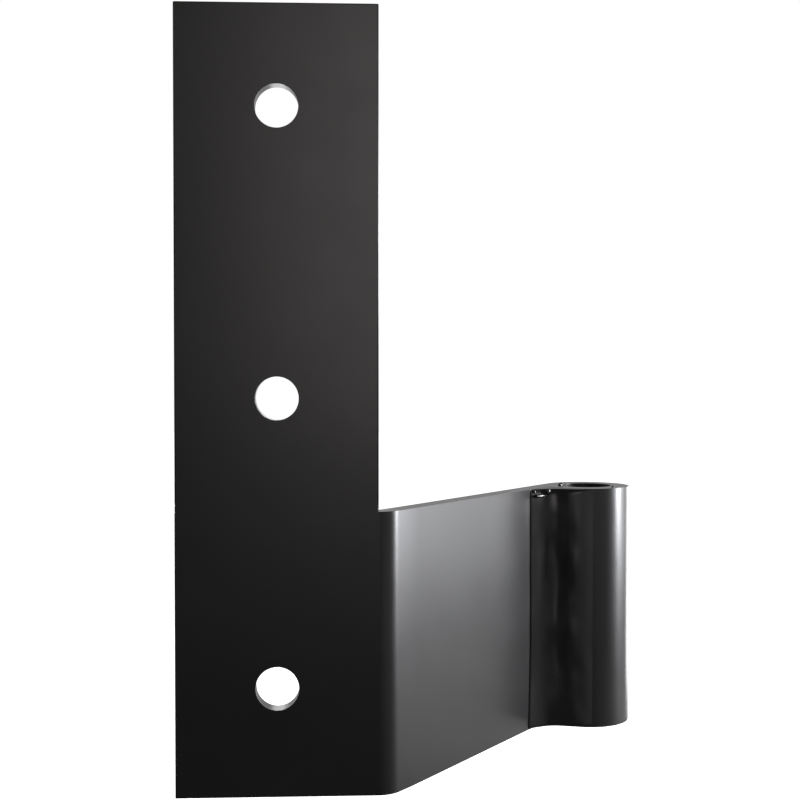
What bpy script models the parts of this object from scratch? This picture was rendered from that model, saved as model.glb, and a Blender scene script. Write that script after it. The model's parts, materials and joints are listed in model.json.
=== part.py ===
"""Door hinge: a welded strap leaf that turns on a round pin.

Two flat bars make the leaf. The upper one is a plain plate. The lower one, the strap, continues the
plate downwards, bends back into an arm, and is rolled at its end into an eye. A weld bead on each
face joins the two bars, and a fillet weld closes the eye against the arm. The eye turns on the pin.

Frame, in metres: +Z up, origin on the pin's axis, level with the leaf's lowest edge. The plate
stands in an XZ plane: its front face looks along -Y, and the eye lies behind it and to its right.
"""
import math

import bmesh
import bpy
from mathutils import Vector

# Plate: the two bars stacked one above the other.
PLATE_WIDTH = 0.04445
PLATE_HEIGHT = 0.17304
STOCK = 0.0047625               # thickness of both bars

# Bolt holes: one column on the plate's centre line, spread evenly between the two margins.
HOLE_DIAMETER = 0.009525
HOLE_COUNT = 3
BOTTOM_MARGIN = 0.0238125       # lowest hole's centre above the bottom edge
TOP_MARGIN = 0.0222275          # highest hole's centre below the top edge

# Strap: its height, the bend that turns the plate into the arm, and the arm's straight length.
STRAP_HEIGHT = 0.0625
BEND_ANGLE = math.radians(55)
BEND_INNER_RADIUS = 0.0012
ARM_LENGTH = 0.083              # outer face, from the bend to where the eye begins

# Pin and eye.
PIN_DIAMETER = 0.0127
RUNNING_CLEARANCE = 0.0003      # all round, between the pin and the eye
FREE_TIP = math.radians(24)     # how far short of a full turn the tip of the eye's free end stops
PIN_RECESS = 0.004              # pin's top below the eye's rim
PIN_LEAD_CHAMFER = 0.0016
PIN_FOOT_CHAMFER = 0.0005

# Butt weld between the bars: the upper plate's lower edge is bevelled on both sides of a flat land
# that stands on the strap, and a bead fills each bevel.
GROOVE_LAND = 0.001
GROOVE_ANGLE = math.radians(45)

# Fillet weld in the crease between arm and eye.
FILLET_RADIUS = 0.0055
COVER = 0.0012                  # weld metal on the eye, where the fillet meets it
COVER_ANGLE = math.radians(34)  # how far round the eye that cover thins out
BEAD_LIP = 0.0002               # thickness at the bead's thin edges
BEAD_END_INSET = 0.0002         # bead's ends inside the strap's edges

GAP = 0.0003                    # kept between pieces that touch
EDGE_BREAK = 0.00035            # dressed edges of the bars
ARC_STEP = math.radians(7.5)
HOLE_SEGMENTS = 48
PIN_SEGMENTS = 48

# Derived places.
EYE_INNER = PIN_DIAMETER / 2 + RUNNING_CLEARANCE
EYE_OUTER = EYE_INNER + STOCK
BEND_OUTER_RADIUS = BEND_INNER_RADIUS + STOCK
ALONG = Vector((math.cos(BEND_ANGLE), math.sin(BEND_ANGLE)))       # along the arm, to the eye
OUTWARD = Vector((math.sin(BEND_ANGLE), -math.cos(BEND_ANGLE)))    # out of the arm's front face
ARM_END = -EYE_INNER * OUTWARD
BEND_CENTRE = ARM_END - ARM_LENGTH * ALONG - BEND_OUTER_RADIUS * OUTWARD
PLATE_RIGHT = BEND_CENTRE.x
PLATE_LEFT = PLATE_RIGHT - PLATE_WIDTH
PLATE_FRONT = BEND_CENTRE.y - BEND_OUTER_RADIUS
PLATE_BACK = PLATE_FRONT + STOCK
ARM_ANGLE = math.atan2(ALONG.y, ALONG.x)
OUTWARD_ANGLE = math.atan2(OUTWARD.y, OUTWARD.x)
GROOVE_BOTTOM = STRAP_HEIGHT + GAP
GROOVE_DEPTH = (STOCK - GROOVE_LAND) / 2
GROOVE_RISE = GROOVE_DEPTH * math.tan(GROOVE_ANGLE)


def clear_scene():
    for obj in list(bpy.data.objects):
        bpy.data.objects.remove(obj, do_unlink=True)


def make_material(name, colour, roughness, metallic):
    material = bpy.data.materials.new(name)
    material.use_nodes = True
    shader = material.node_tree.nodes["Principled BSDF"]
    shader.inputs["Base Color"].default_value = (*colour, 1.0)
    shader.inputs["Roughness"].default_value = roughness
    shader.inputs["Metallic"].default_value = metallic
    return material


def add_object(name, mesh, material=None, parent=None):
    obj = bpy.data.objects.new(name, mesh)
    bpy.context.collection.objects.link(obj)
    if material:
        mesh.materials.append(material)
    obj.parent = parent
    return obj


def arc(centre, radius, start, end):
    """Points on an arc, both ends included. The radius may be a function of the share travelled."""
    steps = max(2, math.ceil(abs(end - start) / ARC_STEP))
    points = []
    for step in range(steps + 1):
        share = step / steps
        angle = start + (end - start) * share
        reach = radius(share) if callable(radius) else radius
        points.append(centre + reach * Vector((math.cos(angle), math.sin(angle))))
    return points


def prism(name, outline, place, travel):
    """Closed mesh of a flat outline: place puts a 2-D point in space, travel is the extrusion."""
    mesh = bpy.data.meshes.new(name)
    bm = bmesh.new()
    face = bm.faces.new([bm.verts.new(place(point)) for point in outline])
    swept = bmesh.ops.extrude_face_region(bm, geom=[face])
    moved = [item for item in swept["geom"] if isinstance(item, bmesh.types.BMVert)]
    bmesh.ops.translate(bm, verts=moved, vec=travel)
    bmesh.ops.recalc_face_normals(bm, faces=bm.faces)
    bm.to_mesh(mesh)
    bm.free()
    return mesh


def plan_prism(name, outline, low, high):
    return prism(name, outline, lambda p: (p.x, p.y, low), (0, 0, high - low))


def side_prism(name, outline, left, right):
    return prism(name, outline, lambda p: (left, p.x, p.y), (right - left, 0, 0))


def shade_round(mesh):
    mesh.shade_smooth()
    mesh.set_sharp_from_angle(angle=math.radians(30))


def break_edges(obj, width):
    bevel = obj.modifiers.new("edge break", "BEVEL")
    bevel.width = width
    bevel.limit_method = "ANGLE"
    bevel.angle_limit = math.radians(30)


def hole_heights():
    pitch = (PLATE_HEIGHT - TOP_MARGIN - BOTTOM_MARGIN) / (HOLE_COUNT - 1)
    return [BOTTOM_MARGIN + pitch * index for index in range(HOLE_COUNT)]


def cut_bolt_holes(obj, low, high):
    """Cuts the holes whose centres lie between two heights, each with its own cutter."""
    for index, height in enumerate(hole_heights()):
        if not low < height < high:
            continue
        mesh = bpy.data.meshes.new(f"hole_cutter_{index + 1}")
        bm = bmesh.new()
        bmesh.ops.create_cone(bm, cap_ends=True, segments=HOLE_SEGMENTS, radius1=HOLE_DIAMETER / 2,
                              radius2=HOLE_DIAMETER / 2, depth=3 * STOCK)
        bm.to_mesh(mesh)
        bm.free()
        cutter = add_object(mesh.name, mesh, parent=obj.parent)
        cutter.location = (PLATE_RIGHT - PLATE_WIDTH / 2, (PLATE_FRONT + PLATE_BACK) / 2, height)
        cutter.rotation_euler = (math.pi / 2, 0, 0)
        cutter.hide_render = True
        cutter.display_type = "WIRE"
        cut = obj.modifiers.new(f"bolt hole {index + 1}", "BOOLEAN")
        cut.operation = "DIFFERENCE"
        cut.solver = "EXACT"
        cut.object = cutter


def strap_outline():
    """Plan of the bent bar: front of plate, bend, arm, round the eye to its free end, and back.

    The free end is cut to lie along the arm's front face, a gap away from it.
    """
    origin = Vector((0, 0))
    eye_start = OUTWARD_ANGLE + math.pi
    seam_depth = EYE_INNER - GAP
    tip_angle = eye_start + FREE_TIP
    tip = seam_depth / math.cos(FREE_TIP) * Vector((math.cos(tip_angle), math.sin(tip_angle)))
    heel_angle = eye_start + math.acos(seam_depth / EYE_OUTER)
    full_turn = 2 * math.pi
    points = [Vector((PLATE_LEFT, PLATE_FRONT))]
    points += arc(BEND_CENTRE, BEND_OUTER_RADIUS, -math.pi / 2, ARM_ANGLE - math.pi / 2)
    points += arc(origin, EYE_INNER, eye_start, tip_angle - full_turn)
    points.append(tip)
    points += arc(origin, EYE_OUTER, heel_angle - full_turn, eye_start)
    points += arc(BEND_CENTRE, BEND_INNER_RADIUS, ARM_ANGLE - math.pi / 2, -math.pi / 2)
    points.append(Vector((PLATE_LEFT, PLATE_BACK)))
    return points


def fillet_outline():
    """Plan of the bead: concave from the arm, a thinning cover on the eye, and back a gap away."""
    cover_radius = EYE_OUTER + COVER
    reach = math.sqrt((FILLET_RADIUS + cover_radius) ** 2 - (FILLET_RADIUS - EYE_INNER) ** 2)
    centre = ARM_END - reach * ALONG + FILLET_RADIUS * OUTWARD
    toe_turn = math.acos((FILLET_RADIUS - GAP - BEAD_LIP) / FILLET_RADIUS)
    toe = OUTWARD_ANGLE + math.pi - toe_turn
    meeting = math.atan2(-centre.y, -centre.x)              # from the fillet's centre to the eye's
    cover_start = meeting + math.pi
    taper = (GAP + BEAD_LIP) / COVER
    cover_end = cover_start + COVER_ANGLE * (1 - taper)
    crease_turn = math.acos((EYE_INNER - GAP) / (EYE_OUTER + GAP))
    crease = OUTWARD_ANGLE + math.pi + crease_turn
    origin = Vector((0, 0))
    points = arc(centre, FILLET_RADIUS, toe, meeting)
    points += arc(origin, lambda share: cover_radius - COVER * (1 - taper) * share,
                  cover_start, cover_end)[1:]
    points += arc(origin, EYE_OUTER + GAP, cover_end, crease)
    points.append(points[0] - BEAD_LIP * OUTWARD)
    return points


def make_upper_plate(leaf, material):
    outline = [
        Vector((PLATE_FRONT, PLATE_HEIGHT)),
        Vector((PLATE_FRONT, GROOVE_BOTTOM + GROOVE_RISE)),
        Vector((PLATE_FRONT + GROOVE_DEPTH, GROOVE_BOTTOM)),
        Vector((PLATE_BACK - GROOVE_DEPTH, GROOVE_BOTTOM)),
        Vector((PLATE_BACK, GROOVE_BOTTOM + GROOVE_RISE)),
        Vector((PLATE_BACK, PLATE_HEIGHT)),
    ]
    mesh = side_prism("upper_plate", outline, PLATE_LEFT, PLATE_RIGHT)
    plate = add_object("upper_plate", mesh, material, leaf)
    cut_bolt_holes(plate, STRAP_HEIGHT, PLATE_HEIGHT)
    break_edges(plate, EDGE_BREAK)


def make_strap(leaf, material):
    mesh = plan_prism("strap", strap_outline(), 0, STRAP_HEIGHT)
    shade_round(mesh)
    strap = add_object("strap", mesh, material, leaf)
    cut_bolt_holes(strap, 0, STRAP_HEIGHT)
    break_edges(strap, EDGE_BREAK)


def make_plate_seam_weld(name, leaf, material, face, inward):
    """Bead that fills one bevel, flush with a face of the plate; inward is +1 or -1 along Y."""
    depth = GROOVE_DEPTH - GAP / math.sin(GROOVE_ANGLE)
    rise = GROOVE_RISE - GAP / math.cos(GROOVE_ANGLE)
    outline = [
        Vector((face, GROOVE_BOTTOM)),
        Vector((face + inward * depth, GROOVE_BOTTOM)),
        Vector((face, GROOVE_BOTTOM + rise)),
    ]
    mesh = side_prism(name, outline, PLATE_LEFT + EDGE_BREAK, PLATE_RIGHT - EDGE_BREAK)
    add_object(name, mesh, material, leaf)


def make_barrel_seam_weld(leaf, material):
    mesh = plan_prism("barrel_seam_weld", fillet_outline(), BEAD_END_INSET,
                      STRAP_HEIGHT - BEAD_END_INSET)
    shade_round(mesh)
    add_object("barrel_seam_weld", mesh, material, leaf)


def make_hinge_pin(material):
    """Turned pin: a foot chamfer, the plain shank, and a longer chamfer that leads into the eye."""
    radius = PIN_DIAMETER / 2
    top = STRAP_HEIGHT - PIN_RECESS
    profile = [
        (0, top),
        (radius - PIN_LEAD_CHAMFER, top),
        (radius, top - PIN_LEAD_CHAMFER),
        (radius, PIN_FOOT_CHAMFER),
        (radius - PIN_FOOT_CHAMFER, 0),
        (0, 0),
    ]
    mesh = bpy.data.meshes.new("hinge_pin")
    bm = bmesh.new()
    verts = [bm.verts.new((x, 0, z)) for x, z in profile]
    edges = [bm.edges.new(pair) for pair in zip(verts, verts[1:])]
    bmesh.ops.spin(bm, geom=verts + edges, cent=(0, 0, 0), axis=(0, 0, 1), angle=2 * math.pi,
                   steps=PIN_SEGMENTS, use_merge=True)
    bmesh.ops.remove_doubles(bm, verts=bm.verts, dist=1e-6)
    bmesh.ops.recalc_face_normals(bm, faces=bm.faces)
    bm.to_mesh(mesh)
    bm.free()
    shade_round(mesh)
    add_object("hinge_pin", mesh, material)


def main():
    clear_scene()
    leaf = add_object("leaf_swing_axis", None)
    black = (0.022, 0.022, 0.023)
    make_upper_plate(leaf, make_material("upper_plate_coat", black, 0.42, 0.0))
    make_strap(leaf, make_material("strap_coat", black, 0.38, 0.0))
    for name, face, inward in (
        ("plate_seam_weld_front", PLATE_FRONT, 1),
        ("plate_seam_weld_back", PLATE_BACK, -1),
    ):
        coat = make_material(f"{name}_coat", black, 0.45, 0.0)
        make_plate_seam_weld(name, leaf, coat, face, inward)
    make_barrel_seam_weld(leaf, make_material("barrel_weld_coat", black, 0.33, 0.0))
    make_hinge_pin(make_material("pin_steel", (0.42, 0.42, 0.43), 0.35, 1.0))


main()
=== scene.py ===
"""Looks of the door hinge: satin black powder coat on a welded steel leaf, and its bright pin.

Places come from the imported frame, and the sizes that its boxes don't give are named below.
Lengths are metres unless a comment says mm, and +Z is up. The plate's front faces -Y, and the
origin lies on the pin's axis, level with the leaf's lowest edge.
"""
import json
import math

import bmesh
import bpy
from mathutils import Matrix, Vector, noise


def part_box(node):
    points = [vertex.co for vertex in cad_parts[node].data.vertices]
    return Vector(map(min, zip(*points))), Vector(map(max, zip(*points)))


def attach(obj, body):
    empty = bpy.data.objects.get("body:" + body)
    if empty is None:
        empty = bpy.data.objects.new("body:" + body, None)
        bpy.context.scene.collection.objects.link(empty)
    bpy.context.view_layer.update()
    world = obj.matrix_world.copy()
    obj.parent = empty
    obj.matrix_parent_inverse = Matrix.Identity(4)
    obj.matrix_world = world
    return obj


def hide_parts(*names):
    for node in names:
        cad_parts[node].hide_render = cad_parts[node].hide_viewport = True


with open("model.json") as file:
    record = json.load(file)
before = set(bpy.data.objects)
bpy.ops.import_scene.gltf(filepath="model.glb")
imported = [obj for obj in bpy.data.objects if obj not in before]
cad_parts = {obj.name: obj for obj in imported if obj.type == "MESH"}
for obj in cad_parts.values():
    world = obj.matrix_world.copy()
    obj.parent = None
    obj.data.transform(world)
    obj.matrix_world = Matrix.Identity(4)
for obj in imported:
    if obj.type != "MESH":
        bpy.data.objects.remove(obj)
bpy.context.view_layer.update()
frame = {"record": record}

MM = 0.001

# The leaf and its pin, read from the frame.
PLATE_LOW, PLATE_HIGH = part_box("upper_plate")
STRAP_LOW, STRAP_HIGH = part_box("strap")
_, PIN_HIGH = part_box("hinge_pin")
PLATE_LEFT, PLATE_RIGHT = PLATE_LOW.x, PLATE_HIGH.x
PLATE_FRONT, PLATE_BACK = PLATE_LOW.y, PLATE_HIGH.y
PLATE_TOP, STRAP_TOP = PLATE_HIGH.z, STRAP_HIGH.z
STOCK = PLATE_BACK - PLATE_FRONT
PIN_RADIUS = PIN_HIGH.x
HOLE_BOXES = [opening["box_m"] for opening in frame["record"]["physics"]["openings"]]
HOLE_HEIGHTS = [(low[2] + high[2]) / 2 for low, high in HOLE_BOXES]
HOLE_X = (PLATE_LEFT + PLATE_RIGHT) / 2

# What the frame's boxes don't say.
HOLE_DIAMETER = 9.525 * MM
RUNNING_CLEARANCE = 0.3 * MM    # all round the pin
BEND_ANGLE = math.radians(55)
BEND_INNER_RADIUS = 1.2 * MM
EASE_ANGLE = math.radians(3)    # last degrees of the bend, spread over a longer stretch
EASE_LENGTH = 9.0 * MM
SEAM_GAP = 0.06 * MM            # between the eye's free end and the arm that it lies against
FREE_TIP = math.radians(24)     # where the thinned free end stops, short of the tangent point
GROOVE_LAND = 1.0 * MM          # steel left between the butt weld's front and back groove
EDGE_RADIUS = 0.30 * MM
HOLE_EDGE_SHARE = 0.35          # share of that radius on the rims of the bolt holes
PIN_EDGE_RADIUS = 0.15 * MM
PIN_LEAD_CHAMFER = 1.6 * MM
PIN_FOOT_CHAMFER = 0.5 * MM

# Derived sizes and places.
EYE_INNER = PIN_RADIUS + RUNNING_CLEARANCE
EYE_OUTER = EYE_INNER + STOCK
BEND_OUTER_RADIUS = BEND_INNER_RADIUS + STOCK
EASE_RADIUS = EASE_LENGTH / EASE_ANGLE
BEND_SHIFT = (EASE_RADIUS - BEND_OUTER_RADIUS) * (1 - math.cos(EASE_ANGLE)) / math.sin(BEND_ANGLE)
BEND_CENTRE = Vector((PLATE_RIGHT - BEND_SHIFT, PLATE_FRONT + BEND_OUTER_RADIUS))
ALONG = Vector((math.cos(BEND_ANGLE), math.sin(BEND_ANGLE)))
OUTWARD = Vector((math.sin(BEND_ANGLE), -math.cos(BEND_ANGLE)))
OUTWARD_ANGLE = math.atan2(OUTWARD.y, OUTWARD.x)
ARM_END = -EYE_INNER * OUTWARD
AXIS = Vector((0, 0))
GROOVE_DEPTH = (STOCK - GROOVE_LAND) / 2

# Fineness of the meshes.
ARC_STEP = math.radians(2.5)
EASE_FINENESS = 0.2             # share of that step on the long, slow end of the bend
ROUND_SEGMENTS = 96             # of the bolt holes and the pin
EDGE_SEGMENTS = 3
SHARP_ANGLE = math.radians(30)
BEAD_SHARP_ANGLE = math.radians(50)
NEARLY_ALONG = 0.999            # cosine of the angle between an edge and the line it follows
TINY = 0.01 * MM
MERGE_DISTANCE = 0.0001 * MM


# ---------------------------------------------------------------- mesh helpers

def arc(centre, radius, start, end, fineness=1.0):
    """Points on an arc, both ends included."""
    steps = max(3, math.ceil(abs(end - start) / (ARC_STEP * fineness)))
    angles = [start + (end - start) * step / steps for step in range(steps + 1)]
    return [centre + radius * Vector((math.cos(angle), math.sin(angle))) for angle in angles]


def new_object(name, mesh):
    obj = bpy.data.objects.new(name, mesh)
    bpy.context.scene.collection.objects.link(obj)
    return obj


def mesh_from(bm, name):
    bmesh.ops.recalc_face_normals(bm, faces=bm.faces)
    mesh = bpy.data.meshes.new(name)
    bm.to_mesh(mesh)
    bm.free()
    return mesh


def prism(name, outline, place, travel):
    """Closed object of a flat outline: place puts a 2-D point in space, travel is the extrusion."""
    bm = bmesh.new()
    face = bm.faces.new([bm.verts.new(place(point)) for point in outline])
    swept = bmesh.ops.extrude_face_region(bm, geom=[face])
    moved = [item for item in swept["geom"] if isinstance(item, bmesh.types.BMVert)]
    bmesh.ops.translate(bm, verts=moved, vec=travel)
    return new_object(name, mesh_from(bm, name))


def plan_prism(name, outline, low, high):
    return prism(name, outline, lambda p: (p.x, p.y, low), (0, 0, high - low))


def side_prism(name, outline, left, right):
    return prism(name, outline, lambda p: (left, p.x, p.y), (right - left, 0, 0))


def apply_modifiers(obj):
    """Replaces the object's mesh by what its modifiers make of it."""
    depsgraph = bpy.context.evaluated_depsgraph_get()
    mesh = bpy.data.meshes.new_from_object(obj.evaluated_get(depsgraph))
    obj.modifiers.clear()
    obj.data = mesh


def drill(obj, heights):
    """Cuts round bolt holes through the plate at these heights."""
    cutters = []
    for height in heights:
        bm = bmesh.new()
        bmesh.ops.create_cone(bm, cap_ends=True, segments=ROUND_SEGMENTS, depth=4 * STOCK,
                              radius1=HOLE_DIAMETER / 2, radius2=HOLE_DIAMETER / 2)
        cutter = new_object("cutter", mesh_from(bm, "cutter"))
        middle = Vector((HOLE_X, (PLATE_FRONT + PLATE_BACK) / 2, height))
        cutter.matrix_world = Matrix.Translation(middle) @ Matrix.Rotation(math.pi / 2, 4, "X")
        cut = obj.modifiers.new("hole", "BOOLEAN")
        cut.operation = "DIFFERENCE"
        cut.solver = "EXACT"
        cut.object = cutter
        cutters.append(cutter)
    bpy.context.view_layer.update()
    apply_modifiers(obj)
    for cutter in cutters:
        bpy.data.objects.remove(cutter, do_unlink=True)


def on_bolt_hole(edge):
    """True for the rims of the bolt holes, which are drilled and only lightly rounded."""
    return all(
        min(math.hypot(vert.co.x - HOLE_X, vert.co.z - height) for height in HOLE_HEIGHTS)
        < HOLE_DIAMETER / 2 + TINY
        for vert in edge.verts
    )


def round_edges(obj, radius, stays_sharp=lambda edge: False):
    """Rounds every sharp edge, apart from those that the rule keeps; flat faces stay flat."""
    obj.data.shade_smooth()
    obj.data.set_sharp_from_angle(angle=SHARP_ANGLE)
    bm = bmesh.new()
    bm.from_mesh(obj.data)
    weight = bm.edges.layers.float.new("bevel_weight_edge")
    for edge in bm.edges:
        if edge.calc_face_angle(0) > SHARP_ANGLE and not stays_sharp(edge):
            edge[weight] = HOLE_EDGE_SHARE if on_bolt_hole(edge) else 1.0
    bm.to_mesh(obj.data)
    bm.free()
    bevel = obj.modifiers.new("rounded edges", "BEVEL")
    bevel.limit_method = "WEIGHT"
    bevel.width = radius
    bevel.segments = EDGE_SEGMENTS
    bevel.harden_normals = True


def finish_piece(obj, material, slot, body, *nodes):
    """Gives the piece its material, its body, the CAD nodes that it replaces; slot is not used."""
    obj.data.materials.clear()
    obj.data.materials.append(material)
    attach(obj, body)
    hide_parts(*nodes)


# ---------------------------------------------------------------- materials

COAT_DARK = (0.0048, 0.0046, 0.0048)
COAT_LIGHT = (0.0172, 0.0166, 0.0168)
STEEL_DARK = (0.18, 0.175, 0.17)
STEEL_LIGHT = (0.58, 0.58, 0.585)
NOISE_LOW, NOISE_HIGH = 0.3, 0.7    # most of the noise lies between these
# Roughness at those two. A coat's stays above 0.275, below which the denoiser leaves thin marks.
BAR_ROUGHNESS = (0.285, 0.305)
WELD_ROUGHNESS = (0.29, 0.33)
STEEL_ROUGHNESS = (0.36, 0.24)
BAR_WAVE_DEPTH = 0.02 * MM
WELD_WAVE_DEPTH = 0.03 * MM
PEEL_DEPTH = 0.0025 * MM
RING_DEPTH = 0.01 * MM
RING_SCALE = (20, 20, 1000)         # squeezes the noise to rings, and counts in mm up the pin
RING_PITCH = 0.35                   # mm


def new_material(name):
    material = bpy.data.materials.new(name)
    material.use_nodes = True
    tree = material.node_tree
    return material, tree, tree.nodes["Principled BSDF"]


def add_node(tree, kind, inputs=None, **settings):
    """New node with its settings, its sockets linked or set to constants."""
    node = tree.nodes.new(kind)
    for key, value in settings.items():
        setattr(node, key, value)
    for key, value in (inputs or {}).items():
        if isinstance(value, bpy.types.NodeSocket):
            tree.links.new(value, node.inputs[key])
        else:
            node.inputs[key].default_value = value
    return node


def noise_node(tree, vector, wavelength, detail):
    """Noise whose lumps are about one wavelength apart, in the vector's unit."""
    return add_node(tree, "ShaderNodeTexNoise", {
        "Vector": vector, "Scale": 1 / wavelength, "Detail": detail,
    }).outputs["Fac"]


def ramp_to(tree, value, low, high):
    """Maps the usual range of the noise to low and high, without clipping what lies outside."""
    return add_node(tree, "ShaderNodeMapRange", {
        "Value": value,
        "From Min": NOISE_LOW,
        "From Max": NOISE_HIGH,
        "To Min": low,
        "To Max": high,
    }, clamp=False).outputs["Result"]


def tone_ramp(tree, value, dark, light):
    """Colours for all of the noise's range, from 0 to 1."""
    node = add_node(tree, "ShaderNodeValToRGB", {"Fac": value})
    node.color_ramp.elements[0].color = (*dark, 1)
    node.color_ramp.elements[1].color = (*light, 1)
    return node.outputs["Color"]


def bump_chain(tree, layers):
    """Stacks bump layers given as (height socket, depth in metres)."""
    normal = None
    for height, depth in layers:
        inputs = {"Height": height, "Distance": depth, "Strength": 1.0}
        if normal is not None:
            inputs["Normal"] = normal
        normal = add_node(tree, "ShaderNodeBump", inputs).outputs["Normal"]
    return normal


def powder_coat(name, roughness_range, wave_depth):
    """Satin black powder coat: fine orange peel, slow waves of the bar beneath, uneven gloss."""
    material, tree, shader = new_material(name)
    place = add_node(tree, "ShaderNodeTexCoord").outputs["Object"]
    cloud = noise_node(tree, place, wavelength=30 * MM, detail=3)
    tree.links.new(tone_ramp(tree, cloud, COAT_DARK, COAT_LIGHT), shader.inputs["Base Color"])
    gloss = noise_node(tree, place, wavelength=9 * MM, detail=4)
    tree.links.new(ramp_to(tree, gloss, *roughness_range), shader.inputs["Roughness"])
    peel = noise_node(tree, place, wavelength=1.5 * MM, detail=0)
    waves = noise_node(tree, place, wavelength=22 * MM, detail=0)
    normal = bump_chain(tree, [(peel, PEEL_DEPTH), (waves, wave_depth)])
    tree.links.new(normal, shader.inputs["Normal"])
    return material


def turned_steel(name):
    """Bright turned steel: rings round the axis, with a little uneven tarnish."""
    material, tree, shader = new_material(name)
    place = add_node(tree, "ShaderNodeTexCoord").outputs["Object"]
    shader.inputs["Metallic"].default_value = 1.0
    tarnish = noise_node(tree, place, wavelength=5 * MM, detail=4)
    tree.links.new(tone_ramp(tree, tarnish, STEEL_DARK, STEEL_LIGHT), shader.inputs["Base Color"])
    tree.links.new(ramp_to(tree, tarnish, *STEEL_ROUGHNESS), shader.inputs["Roughness"])
    squeezed = add_node(tree, "ShaderNodeMapping", {"Vector": place, "Scale": RING_SCALE})
    rings = noise_node(tree, squeezed.outputs["Vector"], wavelength=RING_PITCH, detail=2)
    tree.links.new(bump_chain(tree, [(rings, RING_DEPTH)]), shader.inputs["Normal"])
    return material


# ---------------------------------------------------------------- pieces of the leaf

def along_seam(edge):
    """Edges along the plate's butt weld, which is dressed flush on both faces."""
    start, end = edge.verts[0].co, edge.verts[1].co
    groove_top = STRAP_TOP + GROOVE_DEPTH
    in_groove = all(STRAP_TOP - TINY < height < groove_top + TINY for height in (start.z, end.z))
    on_plate = max(start.x, end.x) < PLATE_RIGHT + TINY
    runs_along_x = abs((end - start).normalized().x) > NEARLY_ALONG
    return in_groove and on_plate and runs_along_x


def in_eye_seam(edge):
    """Edges of the thin slit between the eye's free end and the arm."""
    def inside(vert):
        plan = vert.co.xy
        depth = plan.dot(OUTWARD)
        in_depth = -EYE_INNER - TINY < depth < -EYE_INNER * math.cos(FREE_TIP) + TINY
        return in_depth and plan.dot(ALONG) < -TINY and plan.length < EYE_OUTER + TINY
    return all(inside(vert) for vert in edge.verts)


def strap_outline():
    """Plan of the bent bar: front of plate, bend, arm, round the eye to its free end, and back."""
    bend_end = BEND_ANGLE - math.pi / 2
    ease_start = bend_end - EASE_ANGLE
    towards_ease = Vector((math.cos(ease_start), math.sin(ease_start)))
    ease_centre = BEND_CENTRE + (BEND_OUTER_RADIUS - EASE_RADIUS) * towards_ease
    back_of_arm = OUTWARD_ANGLE + math.pi
    seam_depth = EYE_INNER - SEAM_GAP
    tip = back_of_arm + FREE_TIP
    free_end = back_of_arm + math.acos(seam_depth / EYE_OUTER)
    full_turn = 2 * math.pi
    points = [Vector((PLATE_LEFT, PLATE_FRONT))]
    points += arc(BEND_CENTRE, BEND_OUTER_RADIUS, -math.pi / 2, ease_start)
    points += arc(ease_centre, EASE_RADIUS, ease_start, bend_end, EASE_FINENESS)[1:]
    points += arc(AXIS, EYE_INNER, back_of_arm, tip - full_turn)
    points.append(Vector((math.cos(tip), math.sin(tip))) * seam_depth / math.cos(FREE_TIP))
    points += arc(AXIS, EYE_OUTER, free_end - full_turn, back_of_arm)
    points += arc(ease_centre, EASE_RADIUS - STOCK, bend_end, ease_start, EASE_FINENESS)
    points += arc(BEND_CENTRE, BEND_INNER_RADIUS, ease_start, -math.pi / 2)[1:]
    points.append(Vector((PLATE_LEFT, PLATE_BACK)))
    return points


def make_strap(material):
    """Bent bar with the lowest hole, from the plate's left edge to the rolled eye."""
    strap = plan_prism("strap_bar", strap_outline(), 0, STRAP_TOP)
    drill(strap, [height for height in HOLE_HEIGHTS if height < STRAP_TOP])
    round_edges(strap, EDGE_RADIUS, lambda edge: along_seam(edge) or in_eye_seam(edge))
    finish_piece(strap, material, "black_coat", "leaf", "strap")


def make_upper_plate(material):
    """Flat bar with the upper holes, its lower end bevelled on both faces for the butt weld."""
    outline = [
        Vector((PLATE_FRONT, PLATE_TOP)),
        Vector((PLATE_FRONT, STRAP_TOP + GROOVE_DEPTH)),
        Vector((PLATE_FRONT + GROOVE_DEPTH, STRAP_TOP)),
        Vector((PLATE_BACK - GROOVE_DEPTH, STRAP_TOP)),
        Vector((PLATE_BACK, STRAP_TOP + GROOVE_DEPTH)),
        Vector((PLATE_BACK, PLATE_TOP)),
    ]
    plate = side_prism("upper_plate_bar", outline, PLATE_LEFT, PLATE_RIGHT)
    drill(plate, [height for height in HOLE_HEIGHTS if height > STRAP_TOP])
    round_edges(plate, EDGE_RADIUS, along_seam)
    finish_piece(plate, material, "black_coat", "leaf", "upper_plate")


def make_plate_seam_bead(name, material, face, inward, node):
    """Dressed bead in the plate's front or back groove; inward is +1 or -1 along Y."""
    outline = [
        Vector((face, STRAP_TOP)),
        Vector((face + inward * GROOVE_DEPTH, STRAP_TOP)),
        Vector((face, STRAP_TOP + GROOVE_DEPTH)),
    ]
    bead = side_prism(name, outline, PLATE_LEFT, PLATE_RIGHT)
    round_edges(bead, EDGE_RADIUS, along_seam)
    finish_piece(bead, material, "weld_coat", "leaf", node)


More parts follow.
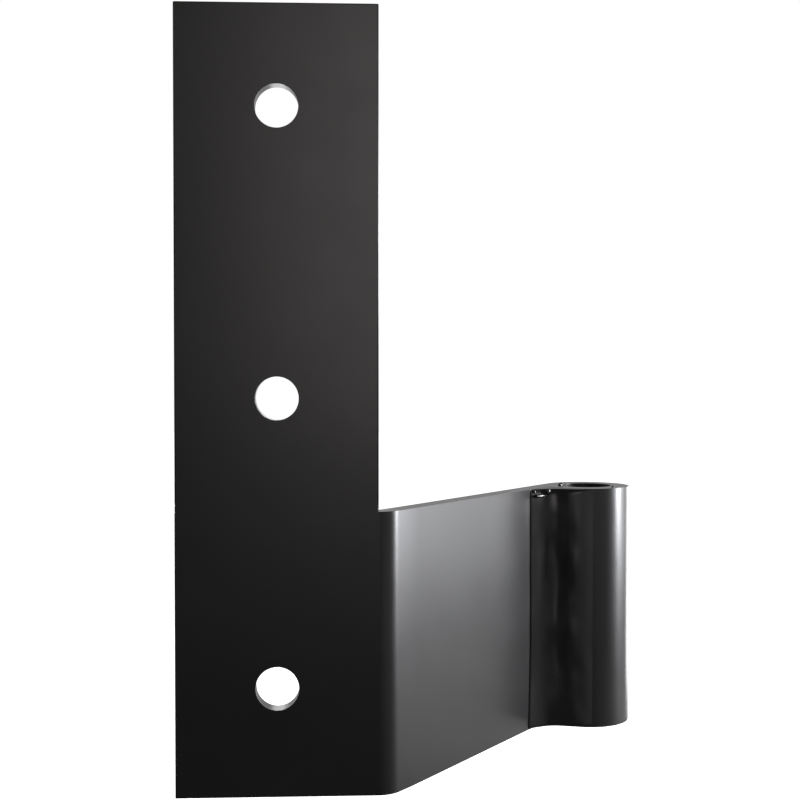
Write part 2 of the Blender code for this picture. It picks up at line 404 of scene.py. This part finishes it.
def make_pin(material):
    """Turned pin, standing in the eye."""
    top = PIN_HIGH.z
    profile = [
        (0, top),
        (PIN_RADIUS - PIN_LEAD_CHAMFER, top),
        (PIN_RADIUS, top - PIN_LEAD_CHAMFER),
        (PIN_RADIUS, PIN_FOOT_CHAMFER),
        (PIN_RADIUS - PIN_FOOT_CHAMFER, 0),
        (0, 0),
    ]
    bm = bmesh.new()
    verts = [bm.verts.new((x, 0, z)) for x, z in profile]
    edges = [bm.edges.new(pair) for pair in zip(verts, verts[1:])]
    bmesh.ops.spin(bm, geom=verts + edges, cent=(0, 0, 0), axis=(0, 0, 1), angle=2 * math.pi,
                   steps=ROUND_SEGMENTS, use_merge=True)
    bmesh.ops.remove_doubles(bm, verts=bm.verts, dist=MERGE_DISTANCE)
    pin = new_object("hinge_pin_round", mesh_from(bm, "hinge_pin_round"))
    round_edges(pin, PIN_EDGE_RADIUS)
    finish_piece(pin, material, "pin_steel", "pin", "hinge_pin")


# ---------------------------------------------------------------- the eye's fillet weld

BEAD_TOE = 19.80                # mm back from the arm's end: the bead's edge on the arm
BEAD_FACE = (                   # mm back from the arm's end, mm above the arm's outer face
    (19.72, 0.36), (18.40, 1.28), (17.20, 2.12), (16.10, 2.96), (15.10, 3.95), (14.30, 5.15),
    (13.70, 6.70), (13.15, 8.30), (12.35, 9.90), (11.10, 11.60), (9.50, 13.05),
)
BEAD_ROWS = 130
BEAD_COLUMNS = 60
BEAD_END_GAP = 0.05 * MM        # the bead stops short of the strap's lower and upper edge
SUNK = 0.15 * MM                # hidden depth of the bead's underside in the bars
TOE_SUNK = 0.05 * MM            # hidden depth of its face at the toe
TOE_WAVE = 0.20 * MM            # how far the toe wanders
TOE_WAVELENGTH = 8 * MM
TOE_SEED = (5.3, 1.9)
TOE_FLARE = 0.9 * MM            # how far the toe moves out near the foot
TOE_FLARE_HEIGHT = 22 * MM
TOE_REACH = 0.3                 # share of the face's width that moves with the toe
FOOT_ROUND = 1.1 * MM           # height of the foot's rounding
FOOT_RECESS = 1.6 * MM          # how far it draws the face back
HEAD_ROUND = 1.8 * MM
HEAD_RECESS = 0.9 * MM
HEAD_ROUND_LEAST = 0.3          # share of the head's rounding that is left beside the eye
HEAD_ROUND_SHIFT = 0.1          # share of the width: its highest place lies nearer the toe by this
HEAD_LEAN = 0.55 * MM           # how far the face leans back below the head's rounding
HEAD_LEAN_REACH = 7.0 * MM
HEAD_LEAN_WIDTH = 0.6           # share of the face's width, from the toe
DEEPEST_RECESS = 0.8            # share of the bead's thickness
OUTWARD_TURN = 1.4              # pace at which outward turns from the arm's normal to the eye's
LUMP_DEPTH = 0.45 * MM
BROAD_LUMP = (13 * MM, 2.6, 3.7)    # wavelength up the bead, waves across its face, seed
FINE_LUMP = (6 * MM, 5.0, 8.1)
FINE_LUMP_SHARE = 0.4


def resample(points, count):
    """The same line with evenly spaced points."""
    lengths = [0.0]
    for a, b in zip(points, points[1:]):
        lengths.append(lengths[-1] + (b - a).length)
    spaced = []
    index = 0
    for step in range(count):
        target = lengths[-1] * step / (count - 1)
        while index < len(points) - 2 and lengths[index + 1] < target:
            index += 1
        span = lengths[index + 1] - lengths[index]
        share = (target - lengths[index]) / span if span else 0
        spaced.append(points[index].lerp(points[index + 1], min(1, share)))
    return spaced


def on_arm(back, height):
    """Plan point this far back from the arm's end and this high above its outer face."""
    return ARM_END - back * ALONG + height * OUTWARD


def smooth_through(points, steps=6):
    """Smooth line through the points, with this many steps from each to the next."""
    line = [points[0]]
    padded = [points[0]] + list(points) + [points[-1]]
    for before, start, end, after in zip(padded, padded[1:], padded[2:], padded[3:]):
        for step in range(1, steps + 1):
            t = step / steps
            bend = (end - before) * t + (2 * before - 5 * start + 4 * end - after) * t ** 2
            turn = (3 * start - before - 3 * end + after) * t ** 3
            line.append(start + (bend + turn) / 2)
    return line


def bead_lines():
    """Plan of the bead: its face and its underside, both from the toe on the arm to the eye."""
    toe = on_arm(BEAD_TOE * MM, 0)
    curve = smooth_through([on_arm(back * MM, height * MM) for back, height in BEAD_FACE])
    crease = on_arm(math.sqrt(EYE_OUTER ** 2 - EYE_INNER ** 2), 0)
    crease_angle = math.atan2(crease.y, crease.x) % (2 * math.pi)
    end_angle = math.atan2(curve[-1].y, curve[-1].x) % (2 * math.pi)
    underside = [toe] + arc(AXIS, EYE_OUTER, crease_angle, end_angle)
    face = [toe - TOE_SUNK * OUTWARD] + resample(curve, BEAD_COLUMNS - 1)
    return face, [toe] + resample(underside, BEAD_COLUMNS - 1)


def toe_shift(z):
    """The bead's edge on the arm wanders a little, and flares out near the foot."""
    wander = noise.noise(Vector((z / TOE_WAVELENGTH, *TOE_SEED))) * TOE_WAVE
    return wander - max(0.0, 1 - z / TOE_FLARE_HEIGHT) * TOE_FLARE


def lump_noise(z, across, wavelength, waves_across, seed):
    return noise.noise(Vector((z / wavelength, across * waves_across, seed)))


def bead_lump(z, across):
    """Smooth unevenness of the bead's face, in metres."""
    broad = lump_noise(z, across, *BROAD_LUMP)
    fine = lump_noise(z, across, *FINE_LUMP)
    return LUMP_DEPTH * (broad + FINE_LUMP_SHARE * fine) * math.sin(math.pi * across)


def end_recess(z, low, high, across):
    """How far the bead's face draws back near its foot and its head, in metres."""
    fullness = math.sin(math.pi * min(1.0, across + HEAD_ROUND_SHIFT))
    head_height = HEAD_ROUND * (HEAD_ROUND_LEAST + (1 - HEAD_ROUND_LEAST) * fullness)
    foot = 1 - min(1.0, (z - low) / FOOT_ROUND)
    head = 1 - min(1.0, (high - z) / head_height)
    rounded_foot = FOOT_RECESS * (1 - math.sqrt(1 - foot ** 2))
    rounded_head = HEAD_RECESS * (1 - math.sqrt(1 - head ** 2))
    leaning = HEAD_LEAN * max(0.0, 1 - (high - z) / HEAD_LEAN_REACH) ** 2
    leaning *= math.sin(math.pi * min(1.0, across / HEAD_LEAN_WIDTH))
    return rounded_foot + rounded_head + leaning


def bead_row(bm, face, underside, level):
    """One closed loop round the bead; level runs from 0 at the foot to 1 at the head."""
    low, high = STRAP_LOW.z + BEAD_END_GAP, STRAP_TOP - BEAD_END_GAP
    z = low + (high - low) * level
    outer, inner = [], []
    for column, (point, foot) in enumerate(zip(face, underside)):
        across = column / (BEAD_COLUMNS - 1)
        shift = toe_shift(z) * max(0.0, 1 - across / TOE_REACH) * ALONG
        away = OUTWARD.lerp(point.normalized(), min(1.0, across * OUTWARD_TURN)).normalized()
        thickness = (point - foot).dot(away)
        recess = min(end_recess(z, low, high, across), max(0.0, DEEPEST_RECESS * thickness))
        place = point + (bead_lump(z, across) - recess) * away + shift
        outer.append(bm.verts.new((place.x, place.y, z)))
        nearer_arm = across < 0.5
        hidden = foot - SUNK * (OUTWARD if nearer_arm else foot.normalized()) + shift
        inner.append(bm.verts.new((hidden.x, hidden.y, z)))
    return outer, inner


def make_eye_bead(material):
    """Smooth lumpy fillet between the arm and the eye, with a drawn-in head at the rim."""
    face, underside = bead_lines()
    bm = bmesh.new()
    # Rows lie closer together towards the foot and the head, where the face rounds off.
    levels = [0.5 - 0.5 * math.cos(math.pi * row / BEAD_ROWS) for row in range(BEAD_ROWS + 1)]
    rows = [bead_row(bm, face, underside, level) for level in levels]
    for (outer_a, inner_a), (outer_b, inner_b) in zip(rows, rows[1:]):
        loop_a, loop_b = outer_a + inner_a[::-1], outer_b + inner_b[::-1]
        for index in range(len(loop_a)):
            after = (index + 1) % len(loop_a)
            bm.faces.new((loop_a[index], loop_a[after], loop_b[after], loop_b[index]))
    for outer, inner in (rows[0], rows[-1]):
        for index in range(BEAD_COLUMNS - 1):
            bm.faces.new((outer[index], outer[index + 1], inner[index + 1], inner[index]))
    bead = new_object("eye_weld_bead", mesh_from(bm, "eye_weld_bead"))
    bead.data.shade_smooth()
    bead.data.set_sharp_from_angle(angle=BEAD_SHARP_ANGLE)
    finish_piece(bead, material, "weld_coat", "leaf", "barrel_seam_weld")


DROP_SEGMENTS = 24
DROP_RINGS = 16
UNIT_BALL_RADIUS = 0.5
DROPS = (   # centre: mm back, mm above the arm's face, mm below the rim; size: mm; turn: degrees
    ((18.90, 0.70, 0.70), (1.0, 0.7, 1.0), 40),
    ((17.60, 2.05, 1.80), (3.6, 0.5, 0.9), 38),
    ((15.45, 3.20, 0.75), (1.5, 0.8, 1.7), 40),
    ((4.36, 1.35, -0.05), (2.2, 0.9, 1.3), 42),
    ((2.10, 15.45, 0.05), (1.2, 0.7, 0.9), 40),
)


def make_drops(material):
    """Small flattened drops of weld metal round the bead's head and the eye's rim."""
    for number, ((back, height, below), size, turn) in enumerate(DROPS):
        place = on_arm(back * MM, height * MM).to_3d()
        place.z = STRAP_TOP - below * MM
        rotation = Matrix.Rotation(math.radians(turn), 3, "Z")
        shape = Matrix.LocRotScale(place, rotation, Vector(size) * MM)
        bm = bmesh.new()
        bmesh.ops.create_uvsphere(bm, u_segments=DROP_SEGMENTS, v_segments=DROP_RINGS,
                                  radius=UNIT_BALL_RADIUS, matrix=shape)
        name = f"weld_drop_{number}"
        drop = new_object(name, mesh_from(bm, name))
        drop.data.shade_smooth()
        finish_piece(drop, material, "weld_coat", "leaf", "barrel_seam_weld")


# ---------------------------------------------------------------- studio

CAMERA_PLACE = Vector((PLATE_RIGHT - 10.6 * MM, PLATE_FRONT - 303.7 * MM, 93.8 * MM))
CAMERA_TURN = math.radians(2.87)    # to the right of the plate's normal
CAMERA_TILT = math.radians(1.29)    # down
CAMERA_LENS = 62.63                 # mm
CAMERA_SENSOR = 36                  # mm
CAMERA_NEAR = 10 * MM
FLOOR_DROP = 60 * MM
FLOOR_REACH = 3                     # from its middle to its sides
ROOM_STRENGTH = 0.095               # what the leaf sees all round
CYCLORAMA_STRENGTH = 0.5            # what it sees behind it, on top of that
CYCLORAMA_EDGE = (0.60, 0.85)       # Y of the direction where the cyclorama starts and is full
LEAF_MIDDLE = Vector((-40 * MM, -30 * MM, 60 * MM))
COOL = (0.98, 0.99, 1.03)
WARM = (1.04, 0.98, 0.965)
NEUTRAL = (1, 1, 1)
SOFTBOXES = (
    # name, azimuth, elevation (degrees); distance, width, height (metres); radiance, tint
    ("key_right", -1.3, 4.3, 0.491, 0.099, 0.143, 96, COOL),
    ("near_right", 9.5, 0.4, 0.318, 0.085, 0.125, 3.4, COOL),
    ("wide_right", 14.5, 0.4, 0.325, 0.160, 0.125, 2.4, COOL),
    ("low_right", 16.2, -13, 0.350, 0.209, 0.172, 0.61, NEUTRAL),
    ("rim_right", 48, 0, 0.60, 0.18, 0.35, 6.0, NEUTRAL),
    ("front_high", -86.6, 11.6, 1.195, 0.266, 0.573, 2.56, WARM),
    ("front_right", -59.3, 5.5, 0.301, 0.166, 0.278, 0.21, NEUTRAL),
    ("fill_behind_left", 160, 20, 0.90, 0.6, 0.6, 1.5, NEUTRAL),
    ("behind_holes", 98.3, 4.1, 0.486, 0.12, 0.18, 2.4, NEUTRAL),
)


def make_camera():
    camera = bpy.data.objects.new("camera", bpy.data.cameras.new("camera"))
    bpy.context.scene.collection.objects.link(camera)
    camera.data.sensor_width = CAMERA_SENSOR
    camera.data.lens = CAMERA_LENS
    camera.data.clip_start = CAMERA_NEAR
    camera.location = CAMERA_PLACE
    camera.rotation_euler = (math.pi / 2 - CAMERA_TILT, 0, -CAMERA_TURN)
    bpy.context.scene.camera = camera


def make_softbox(name, azimuth, elevation, distance, width, height, radiance, tint):
    """Area light that faces the leaf, unseen itself; azimuth counts from +X towards +Y."""
    light = bpy.data.lights.new(name, "AREA")
    light.shape = "RECTANGLE"
    light.size = width
    light.size_y = height
    light.energy = radiance * math.pi * width * height
    light.color = tint
    turn, rise = math.radians(azimuth), math.radians(elevation)
    level = Vector((math.cos(turn), math.sin(turn), 0))
    away = level * math.cos(rise) + Vector((0, 0, math.sin(rise)))
    lamp = bpy.data.objects.new(name, light)
    bpy.context.scene.collection.objects.link(lamp)
    lamp.location = LEAF_MIDDLE + away * distance
    lamp.rotation_euler = away.to_track_quat("Z", "Y").to_euler()
    lamp.visible_camera = False


def make_world():
    """White to the camera; to the leaf a pale cyclorama behind and a dim room all round."""
    world = bpy.data.worlds.new("studio")
    bpy.context.scene.world = world
    world.use_nodes = True
    tree = world.node_tree
    tree.nodes.clear()
    toward = add_node(tree, "ShaderNodeTexCoord").outputs["Generated"]
    split = add_node(tree, "ShaderNodeSeparateXYZ", {"Vector": toward})
    behind = add_node(tree, "ShaderNodeMapRange", {
        "Value": split.outputs["Y"],
        "From Min": CYCLORAMA_EDGE[0],
        "From Max": CYCLORAMA_EDGE[1],
        "To Min": 0.0,
        "To Max": CYCLORAMA_STRENGTH,
    }, interpolation_type="SMOOTHSTEP")
    total = add_node(tree, "ShaderNodeMath", {
        0: behind.outputs["Result"], 1: ROOM_STRENGTH,
    }, operation="ADD")
    camera_sees = add_node(tree, "ShaderNodeLightPath").outputs["Is Camera Ray"]
    strength = add_node(tree, "ShaderNodeMix", {
        0: camera_sees, 2: total.outputs["Value"], 3: 1.0,
    }, data_type="FLOAT")
    background = add_node(tree, "ShaderNodeBackground", {
        "Color": (1, 1, 1, 1), "Strength": strength.outputs[0],
    })
    output = add_node(tree, "ShaderNodeOutputWorld")
    tree.links.new(background.outputs["Background"], output.inputs["Surface"])


def make_floor():
    """Plain white floor that only the camera sees: it takes no shadow and lights nothing."""
    bm = bmesh.new()
    bmesh.ops.create_grid(bm, x_segments=1, y_segments=1, size=FLOOR_REACH)
    floor = new_object("floor", mesh_from(bm, "floor"))
    floor.location.z = -FLOOR_DROP
    material, _, shader = new_material("floor_white")
    shader.inputs["Base Color"].default_value = (0.8, 0.8, 0.8, 1)
    shader.inputs["Emission Color"].default_value = (1, 1, 1, 1)
    shader.inputs["Emission Strength"].default_value = 1.0
    floor.data.materials.append(material)
    for ray in ("visible_diffuse", "visible_glossy", "visible_shadow", "visible_transmission"):
        setattr(floor, ray, False)


def make_studio():
    make_world()
    make_floor()
    for values in SOFTBOXES:
        make_softbox(*values)
    bpy.context.scene.view_settings.view_transform = "Standard"
    make_camera()


def main():
    bar_coat = powder_coat("black_powder_coat", BAR_ROUGHNESS, BAR_WAVE_DEPTH)
    bead_coat = powder_coat("black_powder_coat_on_weld", WELD_ROUGHNESS, WELD_WAVE_DEPTH)
    pin_steel = turned_steel("turned_steel")
    make_strap(bar_coat)
    make_upper_plate(bar_coat)
    make_plate_seam_bead("plate_bead_front", bar_coat, PLATE_FRONT, 1, "plate_seam_weld_front")
    make_plate_seam_bead("plate_bead_back", bar_coat, PLATE_BACK, -1, "plate_seam_weld_back")
    make_eye_bead(bead_coat)
    make_drops(bead_coat)
    make_pin(pin_steel)
    make_studio()


main()
